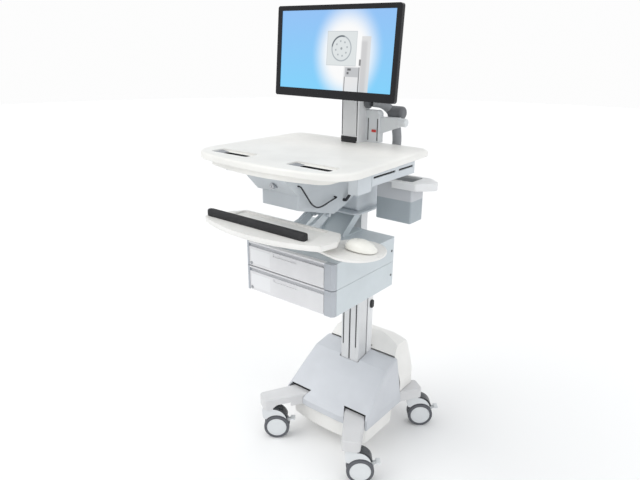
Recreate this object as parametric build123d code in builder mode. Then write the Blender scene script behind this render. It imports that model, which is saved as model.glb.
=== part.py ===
"""Height-adjustable medication cart with two drawers, keyboard tray and display.

Frame: millimetres, +Z up, front of the cart towards -Y, origin on the floor under the lift column.
"""
import os
from math import cos, hypot, radians, sin, tan

from build123d import *

os.makedirs("parts", exist_ok=True)

# ---------------------------------------------------------------- driving dimensions
run_gap = 0.05             # radial running clearance of pins and stems
joint_gap = 0.5            # gap between plain faces of bodies that move past each other

wheel_radius = 51.0        # four-inch twin-wheel casters
wheel_width = 18.0
wheel_spacing = 31.0       # between the middles of the twin wheels
hub_radius = 40.0
axle_radius = 5.0
caster_trail = 34.0        # axle behind the swivel stem
trail_angle = 38.0         # direction in which all four casters trail, from +X
stem_x, stem_y = 204.5, 218.0
stem_radius = 8.0
caster_top = 138.0

leg_bottom, leg_top = 140.0, 184.0
leg_tip_half, leg_root_half = 34.0, 44.0
leg_tip_reach = 26.0       # leg beyond the stem
leg_root_x, leg_root_front, leg_root_rear = 95.0, -30.0, 60.0
leg_arch_top = 156.0       # underside of each leg between the frame plate and its caster
notch_headroom = 11.0      # free height above each leg in the base cover
frame_plate_top = 166.0

cover_wall = 3.0
cover_bottom = 141.0
cover_half = 196.0
ridge_half, ridge_z, ridge_y = 174.0, 328.0, 125.0
housing_crown_z, housing_shoulder_z = 398.0, 368.0
housing_rear_y = 240.0
belly_bottom, belly_top, belly_rear = 63.0, 137.0, 112.0

column_half, column_front, column_rear = 43.0, 44.0, 104.0
column_wall = 7.0
column_top = 760.0
tower_rear, tower_top = 145.0, 612.0
inner_gap = 3.0
lift_down, lift_up = 330.0, 70.0
spring_radius, rod_radius = 11.0, 4.0

worktop_z, worktop_rim_under, worktop_under = 1190.0, 1168.0, 1152.0
worktop_half, worktop_rear_half = 312.0, 290.0
worktop_rear, worktop_front = 80.0, -478.0
rail_inner, rail_outer = 240.0, 274.0
core_half = rail_inner - 0.5  # deeper middle of the worktop, between the rails
hand_hold_in, hand_hold_out = 80.0, 240.0
hand_hold_y, hand_hold_width = -388.0, 56.0
slot_length, slot_width, slot_shift, slot_y = 122.0, 38.0, 16.0, -392.0

collar_half, collar_front, collar_rear, collar_bottom = 68.0, -25.0, 115.0, 950.0

drawer_half, drawer_front_y, drawer_rear_y = 192.0, -324.0, 35.0
drawer_levels = {"lower": 693.0, "upper": 784.0}
drawer_height = 90.0
case_wall = 2.5

mast_half, mast_front, mast_rear, mast_top = 36.0, 10.0, 82.0, 1538.0
bracket_right = 90.0       # outer side of the scanner bracket
mount_hole_spacing = 50.0  # accessory holes on the back of the mast
mount_hole_radius = 2.1
mount_centre_z = 1430.0

plate_pivot_z = 1500.0     # display tilts and turns about this height
display_centre_z = 1486.0
display_width, display_height = 488.0, 290.0
display_front_y = -88.0

arm_pivot_y, arm_pivot_z = -160.0, 970.0
arm_pin_radius = 7.0
tray_pivot_y, tray_pivot_z = -285.0, 944.0
mouse_pivot_x, mouse_pivot_y = 165.0, -365.0
mouse_x, mouse_y = 285.0, -315.0
mouse_disc_x, mouse_disc_y, mouse_disc_radius = 270.0, -320.0, 92.0


# ---------------------------------------------------------------- helpers
def keep(piece, name):
    """Label a finished piece and write it as its own STEP file."""
    piece.label = name
    export_step(piece, f"parts/{name}.step")


def side_profile(points, half_width):
    """Solid with a side view (Y, Z) outline, as wide as twice the half width."""
    with BuildPart() as solid:
        with BuildSketch(Plane.YZ):
            with BuildLine():
                Polyline(*points, close=True)
            make_face()
        extrude(amount=half_width, both=True)
    return solid.part


def box_between(low, high):
    """Box from its lowest corner to its highest corner."""
    with BuildPart() as block:
        with Locations(low):
            Box(*[b - a for a, b in zip(low, high)], align=(Align.MIN, Align.MIN, Align.MIN))
    return block.part


def leg_outline(side_x, side_y, gap):
    """Plan outline of one leg, from under the cover to past its caster stem, grown by a gap."""
    root = Vector(side_x * leg_root_x, leg_root_front if side_y < 0 else leg_root_rear)
    stem = Vector(side_x * stem_x, side_y * stem_y)
    along = (stem - root).normalized()
    across = Vector(-along.Y, along.X)
    tip = stem + along * (leg_tip_reach + gap)
    root_half, tip_half = leg_root_half + gap, leg_tip_half + gap
    return [root + across * root_half, tip + across * tip_half, tip - across * tip_half, root - across * root_half]


def legs(gap, headroom=0.0):
    """The four legs, grown by a gap, and by headroom above, to cut their clearance from the covers."""
    with BuildPart() as four:
        with BuildSketch(Plane.XY.offset(leg_bottom - gap)) as plan:
            for side_x in (-1, 1):
                for side_y in (-1, 1):
                    with BuildLine():
                        Polyline(*leg_outline(side_x, side_y, gap), close=True)
                    make_face()
            tips = plan.vertices().filter_by(lambda v: hypot(v.X, v.Y) > hypot(stem_x, stem_y))
            fillet(tips, radius=14 + gap)
        extrude(amount=leg_top - leg_bottom + 2 * gap + headroom)
    return four.part


# ---------------------------------------------------------------- base
with BuildPart() as base_frame:
    add(legs(0))
    chamfer(base_frame.faces().filter_by(Axis.Z).group_by(Axis.Z)[-1].edges(), length=4)
    for side in (-1, 1):
        with BuildSketch(Plane.XZ.offset(-300)):
            with BuildLine():
                Polyline((side * 130, leg_bottom - 1), (side * 174, leg_bottom - 1),
                         (side * 162, leg_arch_top), (side * 130, leg_arch_top), close=True)
            make_face()
        extrude(amount=600, mode=Mode.SUBTRACT)
    add(box_between((-132, -90, leg_bottom), (132, 200, leg_top + 1)), mode=Mode.SUBTRACT)
    add(box_between((-132, -90, leg_bottom), (132, 200, frame_plate_top)))
    with Locations(*[(x, y, leg_bottom) for x in (-stem_x, stem_x) for y in (-stem_y, stem_y)]):
        Cylinder(stem_radius + run_gap, 76, mode=Mode.SUBTRACT)
keep(base_frame.part, "base_frame")


def cover_shape(inset):
    """Faceted cover over the front of the base, or its inside when inset by the wall."""
    low = cover_bottom - (1 if inset else 0)
    slope = [(-128 + inset, low), (-128 + inset, 166), (-112 + inset, 184 - inset), (-10, 268 - inset),
             (52, 314 - inset), (ridge_y, ridge_z - inset), (ridge_y + 12, ridge_z - inset), (ridge_y + 12, low)]
    with BuildPart() as cover:
        add(side_profile(slope, cover_half - inset))
        with BuildSketch(Plane.XZ):
            with BuildLine():
                Polyline((-cover_half + inset, low), (cover_half - inset, low), (cover_half - inset, 178),
                         (ridge_half - inset, ridge_z + 1), (-ridge_half + inset, ridge_z + 1),
                         (-cover_half + inset, 178), close=True)
            make_face()
        extrude(amount=300, both=True, mode=Mode.INTERSECT)
        with BuildSketch(Plane.XY.offset(low)):
            with BuildLine():
                front = ThreePointArc((-cover_half + inset, -108 + inset), (0, -132 + inset),
                                      (cover_half - inset, -108 + inset))
                Polyline(front @ 1, (cover_half - inset, ridge_y + 12), (-cover_half + inset, ridge_y + 12),
                         front @ 0)
            make_face()
        extrude(amount=300, mode=Mode.INTERSECT)
    return cover.part


with BuildPart() as base_cover:
    add(cover_shape(0))
    sloping = base_cover.edges().filter_by(lambda e: e.center().Z > 190 and abs(e.center().X) > 100)
    fillet(sloping, radius=9)
    add(cover_shape(cover_wall), mode=Mode.SUBTRACT)
    add(legs(2, notch_headroom), mode=Mode.SUBTRACT)
    add(box_between((-column_half - 3, column_front - 1, 200), (column_half + 3, 200, 400)), mode=Mode.SUBTRACT)
keep(base_cover.part, "base_cover")


def housing_shape(inset):
    """Arched housing over the rear of the base, or its inside when inset by the wall."""
    front_y = ridge_y + 12.5
    low = cover_bottom - (1 if inset else 0)
    rear = housing_rear_y - inset
    top = housing_crown_z - inset
    with BuildPart() as housing:
        add(side_profile([(front_y, low), (front_y, ridge_z + 8 - inset), (188, top - 6), (204, top), (226, top - 12),
                          (rear, top - 46), (rear, low)], 190 - inset))
        with BuildSketch(Plane.XZ):
            with BuildLine():
                crown = ThreePointArc((-150 + inset, housing_shoulder_z - inset), (0, top),
                                      (150 - inset, housing_shoulder_z - inset))
                Polyline(crown @ 1, (190 - inset, 228), (190 - inset, low), (-190 + inset, low),
                         (-190 + inset, 228), crown @ 0)
            make_face()
        extrude(amount=300, both=True, mode=Mode.INTERSECT)
    return housing.part


with BuildPart() as power_housing:
    add(housing_shape(0))
    fillet(power_housing.edges().filter_by(Axis.Z).filter_by(lambda e: e.center().Y > 230), radius=20)
    add(housing_shape(cover_wall), mode=Mode.SUBTRACT)
    add(legs(2), mode=Mode.SUBTRACT)
    add(box_between((-column_half - 3, 100, 200), (column_half + 3, tower_rear + 1, 500)), mode=Mode.SUBTRACT)
    with Locations(*[(0, housing_rear_y, z) for z in range(210, 311, 20)]):
        Box(150, 20, 6, mode=Mode.SUBTRACT)
keep(power_housing.part, "power_housing")


def belly_shape(inset):
    """Pan under the base, drawn in towards its floor."""
    with BuildPart() as belly:
        with BuildSketch(Plane.XY.offset(belly_top + (1 if inset else 0))) as plan:
            with BuildLine():
                front = ThreePointArc((-186 + inset, -96 + inset), (0, -118 + inset), (186 - inset, -96 + inset))
                Polyline(front @ 1, (186 - inset, belly_rear - inset), (-186 + inset, belly_rear - inset), front @ 0)
            make_face()
            fillet(plan.vertices(), radius=28 - inset)
        extrude(amount=belly_top - belly_bottom + (1 - inset if inset else 0), dir=(0, 0, -1), taper=6)
    return belly.part


with BuildPart() as belly_pan:
    add(belly_shape(0))
    add(belly_shape(cover_wall), mode=Mode.SUBTRACT)
keep(belly_pan.part, "belly_pan")

with BuildPart() as battery_pack:
    add(box_between((-120, -50, belly_bottom + cover_wall), (120, 100, leg_bottom)))
    fillet(battery_pack.edges().filter_by(Axis.Z), radius=6)
keep(battery_pack.part, "battery_pack")

with BuildPart() as outer_column:
    with BuildSketch(Plane.XY.offset(frame_plate_top)) as section:
        with Locations((0, (column_front + column_rear) / 2)):
            RectangleRounded(2 * column_half, column_rear - column_front, 8)
            Rectangle(2 * (column_half - column_wall), column_rear - column_front - 2 * column_wall,
                      mode=Mode.SUBTRACT)
    extrude(amount=column_top - frame_plate_top)
    with Locations((0, column_front, ridge_z - 20)):
        Box(7, 8, column_top, align=(Align.CENTER, Align.CENTER, Align.MIN), mode=Mode.SUBTRACT)
    with Locations((-30, column_front, 368), (30, column_front, 368)):
        Box(6, 8, column_top, align=(Align.CENTER, Align.CENTER, Align.MIN), mode=Mode.SUBTRACT)
keep(outer_column.part, "outer_column")

with BuildPart() as column_rear_cover:
    with BuildSketch(Plane.XY.offset(leg_top + 40)) as section:
        with Locations((0, (column_rear + tower_rear) / 2)):
            RectangleRounded(90, tower_rear - column_rear, 12)
        with Locations((0, column_rear)):
            Rectangle(90, 26, align=(Align.CENTER, Align.MIN))
        with Locations((0, column_rear)):
            Rectangle(82, tower_rear - column_rear - 4, align=(Align.CENTER, Align.MIN), mode=Mode.SUBTRACT)
    extrude(amount=tower_top - leg_top - 40)
    with Locations((0, column_rear, tower_top)):
        Box(82, tower_rear - column_rear - 4, 4, align=(Align.CENTER, Align.MIN, Align.MAX))
keep(column_rear_cover.part, "column_rear_cover")

with BuildPart() as column_grommet:
    with BuildSketch(Plane.YZ.offset(45)):
        with Locations((125, 538)):
            RectangleRounded(20, 34, 8)
    extrude(amount=8)
    fillet(column_grommet.faces().sort_by(Axis.X)[-1].edges(), radius=3)
keep(column_grommet.part, "column_grommet")

lift_axis_y = (column_front + column_rear) / 2
with BuildPart() as lift_cylinder:
    with Locations((0, lift_axis_y, frame_plate_top)):
        Cylinder(spring_radius, 620 - frame_plate_top, align=(Align.CENTER, Align.CENTER, Align.MIN))
    with Locations((0, lift_axis_y, frame_plate_top + 6)):
        Cylinder(rod_radius + run_gap, 620, align=(Align.CENTER, Align.CENTER, Align.MIN), mode=Mode.SUBTRACT)
keep(lift_cylinder.part, "lift_cylinder")


# ---------------------------------------------------------------- casters
def caster_plane(side_x, side_y):
    """Vertical plane of a caster: X along its trail, Y up, its normal along the axle."""
    trail = Vector(cos(radians(trail_angle)), sin(radians(trail_angle)), 0)
    origin = Vector(side_x * stem_x, side_y * stem_y, wheel_radius) + trail * caster_trail
    return Plane(origin=origin, x_dir=trail, z_dir=trail.cross(Vector(0, 0, 1)))


def make_caster(corner, side_x, side_y):
    """Housing with hood, stem and axle; twin tyres; twin hubs; and brake pedal of one caster."""
    plane = caster_plane(side_x, side_y)
    top = caster_top - wheel_radius
    wheel_planes = [plane.offset(side * wheel_spacing / 2 - wheel_width / 2) for side in (-1, 1)]
    pedal_pivot = (43, 22)

    with BuildPart() as housing:
        with BuildSketch(plane):
            Circle(34)
            with BuildLine():
                Polyline((-30, 0), (-56, 40), (-56, 60), (0, 60), (30, 12), close=True)
            make_face()
            Circle(axle_radius + run_gap, mode=Mode.SUBTRACT)
        extrude(amount=5, both=True)
        with BuildSketch(plane):
            with BuildLine():
                under_hood = ThreePointArc((-14, 80), (20, 68), (38, 40))
                Polyline(under_hood @ 0, (-14, top), (-58, top), (-58, 36), under_hood @ 1)
            make_face()
            Circle(53.5, mode=Mode.SUBTRACT)
        extrude(amount=20, both=True)
        with BuildSketch(plane):
            with BuildLine():
                Polyline((28, 8), (pedal_pivot[0] + 3, 18), (pedal_pivot[0], 26), (26, 22), close=True)
            make_face()
        extrude(amount=2, both=True)
        with BuildSketch(plane.offset(-5.8)):
            with Locations(pedal_pivot):
                Circle(2.5)
        extrude(amount=11.6)
        with BuildSketch(Plane.XY.offset(caster_top)):
            with Locations((side_x * stem_x, side_y * stem_y)):
                Circle(stem_radius)
        extrude(amount=36)
    with BuildPart() as hood:
        with BuildSketch(plane):
            with BuildLine():
                outer = ThreePointArc((-14, top), (25, 73.5), (44, 42))
                inner = ThreePointArc((-14, 80.1), (20.1, 68.1), (38.1, 40.1))
                Line(outer @ 0, inner @ 0)
                Line(outer @ 1, inner @ 1)
            make_face()
        extrude(amount=21, both=True)
    with BuildPart() as axle:
        with BuildSketch(plane.offset(-wheel_spacing / 2 - wheel_width / 2)):
            Circle(axle_radius)
        extrude(amount=wheel_spacing + wheel_width)
    keep(Compound(children=[housing.part, hood.part, axle.part]), f"caster_{corner}_housing")

    with BuildPart() as tyres:
        with BuildSketch(*wheel_planes):
            Circle(wheel_radius)
            Circle(hub_radius, mode=Mode.SUBTRACT)
        extrude(amount=wheel_width)
        outer_edges = tyres.edges().filter_by(GeomType.CIRCLE).filter_by(lambda e: e.radius > wheel_radius - 1)
        fillet(outer_edges, radius=5)
    keep(tyres.part, f"caster_{corner}_tyres")

    with BuildPart() as hubs:
        with BuildSketch(*wheel_planes):
            Circle(hub_radius - run_gap)
            Circle(axle_radius + run_gap, mode=Mode.SUBTRACT)
        extrude(amount=wheel_width)
        rims = hubs.edges().filter_by(GeomType.CIRCLE).filter_by(lambda e: e.radius > hub_radius - 1)
        chamfer(rims, length=1.5)
    keep(hubs.part, f"caster_{corner}_hubs")

    with BuildPart() as pedal:
        with BuildSketch(plane):
            with Locations(pedal_pivot):
                Circle(7)
            with BuildLine():
                Polyline((40, 27), (60, 34), (60, 27), (48, 16), close=True)
            make_face()
            with Locations(pedal_pivot):
                Circle(2.5 + run_gap, mode=Mode.SUBTRACT)
        extrude(amount=5.8, both=True)
        with BuildSketch(plane):
            Circle(57)
        extrude(amount=2.4, both=True, mode=Mode.SUBTRACT)
        with BuildSketch(plane):
            with Locations((65, 30.5)):
                RectangleRounded(18, 7, 3)
        extrude(amount=15, both=True)
    keep(pedal.part, f"caster_{corner}_pedal")


for corner, side_x, side_y in (("fl", -1, -1), ("fr", 1, -1), ("rl", -1, 1), ("rr", 1, 1)):
    make_caster(corner, side_x, side_y)


# ---------------------------------------------------------------- head: column, collar, worktop
with BuildPart() as inner_column:
    wall = 4
    half = column_half - column_wall - inner_gap
    depth = column_rear - column_front - 2 * (column_wall + inner_gap)
    with BuildSketch(Plane.XY.offset(column_top - 200)):
        with Locations((0, lift_axis_y)):
            Rectangle(2 * half, depth)
            Rectangle(2 * (half - wall), depth - 2 * wall, mode=Mode.SUBTRACT)
    extrude(amount=worktop_under - column_top + 200)
    with Locations((0, lift_axis_y, 1010)):
        Box(2 * (half - wall), depth - 2 * wall, 6, align=(Align.CENTER, Align.CENTER, Align.MIN))
keep(inner_column.part, "inner_column")

with BuildPart() as lift_rod:
    with Locations((0, lift_axis_y, 520)):
        Cylinder(rod_radius, 490, align=(Align.CENTER, Align.CENTER, Align.MIN))
keep(lift_rod.part, "lift_rod")

with BuildPart() as column_collar:
    add(side_profile([(collar_front + 14, collar_bottom), (collar_front, collar_bottom + 14),
                      (collar_front, worktop_under), (collar_rear, worktop_under),
                      (collar_rear, collar_bottom)], collar_half))
    fillet(column_collar.edges().filter_by(Axis.Z), radius=8)
    with BuildSketch(Plane.XY.offset(collar_bottom)):
        with BuildLine():
            Polyline((-74, collar_rear), (-74, -30), (-50, -56), (70, -56), (88, -38), (88, 60),
                     (74, collar_rear), close=True)
        make_face()
    extrude(amount=6)
    add(box_between((-46, 41, collar_bottom - 1), (46, 107, 1100)), mode=Mode.SUBTRACT)
    add(box_between((-half, lift_axis_y - depth / 2, 1090), (half, lift_axis_y + depth / 2, 1160)), mode=Mode.SUBTRACT)
    add(box_between((-62, -19, collar_bottom + 20), (62, 35, worktop_under + 1)), mode=Mode.SUBTRACT)
keep(column_collar.part, "column_collar")

with BuildPart() as worksurface:
    with BuildSketch(Plane.XY.offset(worktop_rim_under)) as outline:
        with BuildLine():
            front = ThreePointArc((-worktop_half, -432), (0, worktop_front), (worktop_half, -432))
            Polyline(front @ 1, (worktop_rear_half, 52), (260, worktop_rear), (-260, worktop_rear),
                     (-worktop_rear_half, 52), front @ 0)
        make_face()
        fillet(outline.vertices().group_by(Axis.Y)[0], radius=105)
        fillet(outline.vertices().group_by(Axis.Y)[-2], radius=14)
        fillet(outline.vertices().group_by(Axis.Y)[-1], radius=14)
    extrude(amount=worktop_z - worktop_rim_under)
    fillet(worksurface.faces().sort_by(Axis.Z)[-1].outer_wire().edges(), radius=9)
    fillet(worksurface.faces().sort_by(Axis.Z)[0].outer_wire().edges(), radius=5)
    with BuildSketch(Plane.XY.offset(worktop_under)) as core_outline:
        with BuildLine():
            front = ThreePointArc((-core_half, -424), (0, worktop_front + 10), (core_half, -424))
            Polyline(front @ 1, (core_half, worktop_rear - 8), (-core_half, worktop_rear - 8), front @ 0)
        make_face()
        fillet(core_outline.vertices().group_by(Axis.Y)[0], radius=45)
    extrude(amount=worktop_rim_under - worktop_under + 1)
    slot_middle = (hand_hold_in + hand_hold_out) / 2
    with BuildSketch(Plane.XY.offset(worktop_z)):
        with Locations((-slot_middle, hand_hold_y), (slot_middle, hand_hold_y)):
            RectangleRounded(hand_hold_out - hand_hold_in, hand_hold_width, 9)
    extrude(amount=-6, mode=Mode.SUBTRACT)
    with BuildSketch(Plane.XY.offset(worktop_z)):
        with Locations((-slot_middle + slot_shift, slot_y), (slot_middle + slot_shift, slot_y)):
            RectangleRounded(slot_length, slot_width, 8)
    extrude(amount=-60, mode=Mode.SUBTRACT)
    for side in (-1, 1):
        low, high = sorted((side * 135, side * 205))
        add(box_between((low, -300, worktop_under - 1), (high, 30, worktop_z - 6)), mode=Mode.SUBTRACT)
    add(box_between((-100, -325, worktop_under - 1), (100, -50, worktop_z - 6)), mode=Mode.SUBTRACT)
keep(worksurface.part, "worksurface")

with BuildPart() as head_housing:
    add(side_profile([(-428, worktop_under), (-420, 1140), (-366, 1084), (collar_front, 1084),
                      (collar_front, worktop_under)], 82))
    add(side_profile([(-355, 1090), (-355, 1034), (-174, 984), (-110, 1003), (collar_front, 1040),
                      (collar_front, 1090)], 77))
    fillet(head_housing.edges().filter_by(Axis.Z).filter_by(lambda e: e.center().Y < -300), radius=8)
    add(side_profile([(-424, worktop_under + 1), (-364, 1088), (-28, 1088), (-28, worktop_under + 1)], 79),
        mode=Mode.SUBTRACT)
    add(side_profile([(-352, 1095), (-352, 1036.5), (-174, 987.5), (-110, 1006.5), (-28, 1043), (-28, 1095)], 74),
        mode=Mode.SUBTRACT)
    with BuildSketch(Plane.XZ.offset(360)):
        with Locations((17, 1112)):
            Circle(9 + run_gap)
    extrude(amount=80, mode=Mode.SUBTRACT)
    for low, high in ((-22, -13), (13, 22)):
        with BuildSketch(Plane.YZ.offset(low)):
            with Locations((arm_pivot_y, arm_pivot_z)):
                Circle(13)
            with BuildLine():
                Polyline((-173, arm_pivot_z), (-174, 987), (-140, 996), (-147, arm_pivot_z), close=True)
            make_face()
            with Locations((arm_pivot_y, arm_pivot_z)):
                Circle(arm_pin_radius + run_gap, mode=Mode.SUBTRACT)
        extrude(amount=high - low)
keep(head_housing.part, "head_housing")

with BuildPart() as front_lock:
    with BuildSketch(Plane.XZ.offset(382)):
        with Locations((17, 1112)):
            Circle(9)
    extrude(amount=26)
    with Locations((17, -408, 1112)):
        Box(1.6, 5, 8, mode=Mode.SUBTRACT)
keep(front_lock.part, "front_lock")

with BuildPart() as side_rails:
    for side in (-1, 1):
        low, high = sorted((side * rail_inner, side * rail_outer))
        add(box_between((low, -252, 1122), (high, -5, worktop_rim_under)))
        add(box_between((low, -324, 1108), (high, -254, worktop_rim_under)))
        for start, end in ((-244, -122), (-102, -15)):
            with Locations((side * rail_outer, (start + end) / 2, 1147.5)):
                Box(16, end - start, 6.5, mode=Mode.SUBTRACT)
keep(side_rails.part, "side_rails")

with BuildPart() as storage_bin:
    add(box_between((134, -8, 945), (272, 72, 1082)))
    fillet(storage_bin.edges().filter_by(Axis.Z), radius=6)
    fillet(storage_bin.faces().sort_by(Axis.Z)[0].edges(), radius=4)
    add(box_between((136.5, -5.5, 948), (269.5, 69.5, 1083)), mode=Mode.SUBTRACT)
keep(storage_bin.part, "storage_bin")

with BuildPart() as bin_rim:
    with BuildSketch(Plane.XY.offset(1082)) as outline:
        with BuildLine():
            Polyline((collar_half, -20), (290, -20), (337, 30), (337, 48), (290, 84), (collar_half, 84), close=True)
        make_face()
        fillet(outline.vertices().group_by(Axis.X)[1:], radius=12)
        with Locations((203, 32)):
            RectangleRounded(133, 75, 4, mode=Mode.SUBTRACT)
    extrude(amount=8)
    fillet(bin_rim.faces().sort_by(Axis.Z)[-1].outer_wire().edges(), radius=2)
    with BuildSketch(Plane.XY.offset(1064)) as skirt:
        with BuildLine():
            Polyline((200, -20), (290, -20), (337, 30), (337, 48), (290, 84), (200, 84), close=True)
        make_face()
        fillet(skirt.vertices().group_by(Axis.X)[1:], radius=12)
        offset(amount=-3, mode=Mode.SUBTRACT)
    extrude(amount=18)
    add(box_between((199, -18, 1060), (204, 82, 1082)), mode=Mode.SUBTRACT)
keep(bin_rim.part, "bin_rim")


# ---------------------------------------------------------------- drawers
with BuildPart() as drawer_bracket:
    add(box_between((-58, -92, 874), (58, 30, 877)))
    add(side_profile([(-76, 877), (-71, 877), (8, 937), (8, collar_bottom), (4, collar_bottom), (4, 940)], 56))
    for side in (-1, 1):
        low, high = sorted((side * 53, side * 56))
        with BuildSketch(Plane.YZ.offset(low)):
            with BuildLine():
                Polyline((-90, 877), (-58, 877), (12, 930), (12, collar_bottom), (-12, collar_bottom),
                         (-90, 886), close=True)
            make_face()
        extrude(amount=high - low)
keep(drawer_bracket.part, "drawer_bracket")

with BuildPart() as drawer_cases:
    for level in drawer_levels.values():
        add(box_between((-drawer_half, -305, level), (drawer_half, drawer_rear_y, level + drawer_height)))
    fillet(drawer_cases.edges().filter_by(Axis.Z).filter_by(lambda e: e.center().Y > 0), radius=8)
    for level in drawer_levels.values():
        add(box_between((-drawer_half + case_wall, -306, level + case_wall),
                        (drawer_half - case_wall, drawer_rear_y - case_wall, level + drawer_height - case_wall)),
            mode=Mode.SUBTRACT)
keep(drawer_cases.part, "drawer_cases")


def make_drawer(name, level):
    """Drawer box with its side runners, moulded front with a finger pull, and key lock."""
    with BuildPart() as box:
        add(box_between((-182, -306, level + 6), (182, 15, level + 74)))
        add(box_between((-179.5, -303.5, level + 8.5), (179.5, 12.5, level + 75)), mode=Mode.SUBTRACT)
        for low, high in ((-188.5, -182), (182, 188.5)):
            add(box_between((low, -300, level + 35), (high, 10, level + 47)))
    keep(box.part, f"{name}_drawer_box")

    with BuildPart() as front:
        add(box_between((-192, -317, level + 1), (192, -306, level + 89)))
        add(box_between((-192, drawer_front_y, level + 1), (-175, -316, level + 89)))
        add(box_between((156, drawer_front_y, level + 1), (192, -316, level + 89)))
        add(box_between((-175, drawer_front_y, level + 84), (156, -316, level + 89)))
        corners = front.edges().filter_by(Axis.Z).filter_by(lambda e: e.center().Y < -323 and abs(e.center().X) > 190)
        chamfer(corners, length=9)
        add(box_between((-173, drawer_front_y, level + 3), (154, -317, level + 72)))
        with BuildSketch(Plane.XZ.offset(-drawer_front_y)):
            with Locations((-10, level + 63)):
                RectangleRounded(104, 12, 3)
        extrude(amount=-3, mode=Mode.SUBTRACT)
        with BuildSketch(Plane.XZ.offset(306)):
            with Locations((-164, level + 12)):
                Circle(5.5 + run_gap)
        extrude(amount=30, mode=Mode.SUBTRACT)
    keep(front.part, f"{name}_drawer_front")

    with BuildPart() as lock:
        with BuildSketch(Plane.XZ.offset(307)):
            with Locations((-164, level + 12)):
                Circle(5.5)
        extrude(amount=18.5)
        with Locations((-164, drawer_front_y - 1.5, level + 12)):
            Box(1.2, 3, 6, mode=Mode.SUBTRACT)
    keep(lock.part, f"{name}_drawer_lock")


for name, level in drawer_levels.items():
    make_drawer(name, level)


# ---------------------------------------------------------------- keyboard arm, trays
with BuildPart() as keyboard_arm:
    for low, high in ((-37, -23), (23, 37)):
        with BuildSketch(Plane.YZ.offset(low)):
            with Locations((arm_pivot_y, arm_pivot_z)):
                Circle(13)
            with BuildLine():
                Polyline((-154, 958), (-212, 926), (-250, 922), (-300, 926), (-300, 952), (-252, 950),
                         (-224, 956), (-174, 980), close=True)
            make_face()
        extrude(amount=high - low)
    with BuildSketch(Plane.YZ.offset(-50)):
        with Locations((arm_pivot_y, arm_pivot_z)):
            Circle(arm_pin_radius)
    extrude(amount=100)
    with BuildSketch(Plane.YZ.offset(-60)):
        with Locations((tray_pivot_y, tray_pivot_z)):
            Circle(5)
    extrude(amount=120)
keep(keyboard_arm.part, "keyboard_arm")

with BuildPart() as keyboard_tray:
    with BuildSketch(Plane.XY.offset(960)) as outline:
        with BuildLine():
            front = ThreePointArc((-250, -452), (0, -502), (236, -444))
            Polyline(front @ 1, (250, -384), (214, -316), (-186, -316), (-216, -360), front @ 0)
        make_face()
        fillet(outline.vertices().group_by(Axis.Y)[0], radius=22)
        fillet(outline.vertices().group_by(Axis.Y)[-1], radius=20)
    extrude(amount=20)
    fillet(keyboard_tray.faces().sort_by(Axis.Z)[0].outer_wire().edges(), radius=8)
    with BuildSketch(Plane.XY.offset(980)):
        with Locations((-8, -369)):
            RectangleRounded(364, 88, 8)
    extrude(amount=-6, mode=Mode.SUBTRACT)
    for low, high in ((-56, -42), (42, 56)):
        with BuildSketch(Plane.YZ.offset(low)):
            with BuildLine():
                Polyline((-276, 934), (-296, 934), (-380, 960), (-323, 961), (-276, 954), close=True)
            make_face()
        extrude(amount=high - low)
    with BuildSketch(Plane.YZ.offset(-60)):
        with Locations((tray_pivot_y, tray_pivot_z)):
            Circle(5 + run_gap)
    extrude(amount=120, mode=Mode.SUBTRACT)
    with BuildSketch(Plane.XY.offset(945)):
        with Locations((mouse_pivot_x, mouse_pivot_y)):
            Circle(16)
    extrude(amount=20)
    with BuildSketch(Plane.XY.offset(930)):
        with Locations((mouse_pivot_x, mouse_pivot_y)):
            Circle(5)
    extrude(amount=20)
keep(keyboard_tray.part, "keyboard_tray")

with BuildPart() as palm_rest:
    add(box_between((-240, -448, 980), (174, -421, 1003)))
    fillet(palm_rest.edges().filter_by(Axis.X).group_by(Axis.Z)[-1], radius=9)
    fillet(palm_rest.edges().filter_by(Axis.Z), radius=3)
keep(palm_rest.part, "palm_rest")

with BuildPart() as mouse_tray:
    with BuildSketch(Plane.XY.offset(936)) as outline:
        with Locations((mouse_disc_x, mouse_disc_y)):
            Circle(mouse_disc_radius)
        with Locations((mouse_pivot_x, mouse_pivot_y)):
            Circle(24)
        make_hull()
        with Locations((mouse_pivot_x, mouse_pivot_y)):
            Circle(5 + run_gap, mode=Mode.SUBTRACT)
    extrude(amount=8)
    fillet(mouse_tray.faces().sort_by(Axis.Z)[0].outer_wire().edges(), radius=3)
keep(mouse_tray.part, "mouse_tray")

with BuildPart() as mouse:
    with BuildSketch(Plane.XY.offset(944.2)) as outline:
        with Locations((mouse_x, mouse_y)):
            RectangleRounded(106, 60, 27)
    extrude(amount=34, taper=14)
    fillet(mouse.faces().sort_by(Axis.Z)[-1].edges(), radius=10)
keep(mouse.part, "mouse")


# ---------------------------------------------------------------- mast and what it carries
with BuildPart() as mast:
    with BuildSketch(Plane.XY.offset(worktop_z)):
        with Locations((0, (mast_front + mast_rear) / 2)):
            RectangleRounded(2 * mast_half, mast_rear - mast_front, 5)
    extrude(amount=mast_top - worktop_z)
    add(box_between((-29, 24, worktop_z - 1), (29, 76, mast_top - 6)), mode=Mode.SUBTRACT)
    for low, high in ((-33, -29), (29, 33)):
        add(box_between((low, mast_front - 1, 1214), (high, 18, mast_top + 1)), mode=Mode.SUBTRACT)
    with BuildSketch(Plane.XZ.offset(-mast_rear)):
        with Locations((0, mount_centre_z)):
            with GridLocations(mount_hole_spacing, mount_hole_spacing, 2, 2):
                Circle(mount_hole_radius)
    extrude(amount=8, mode=Mode.SUBTRACT)
keep(mast.part, "mast")

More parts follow.
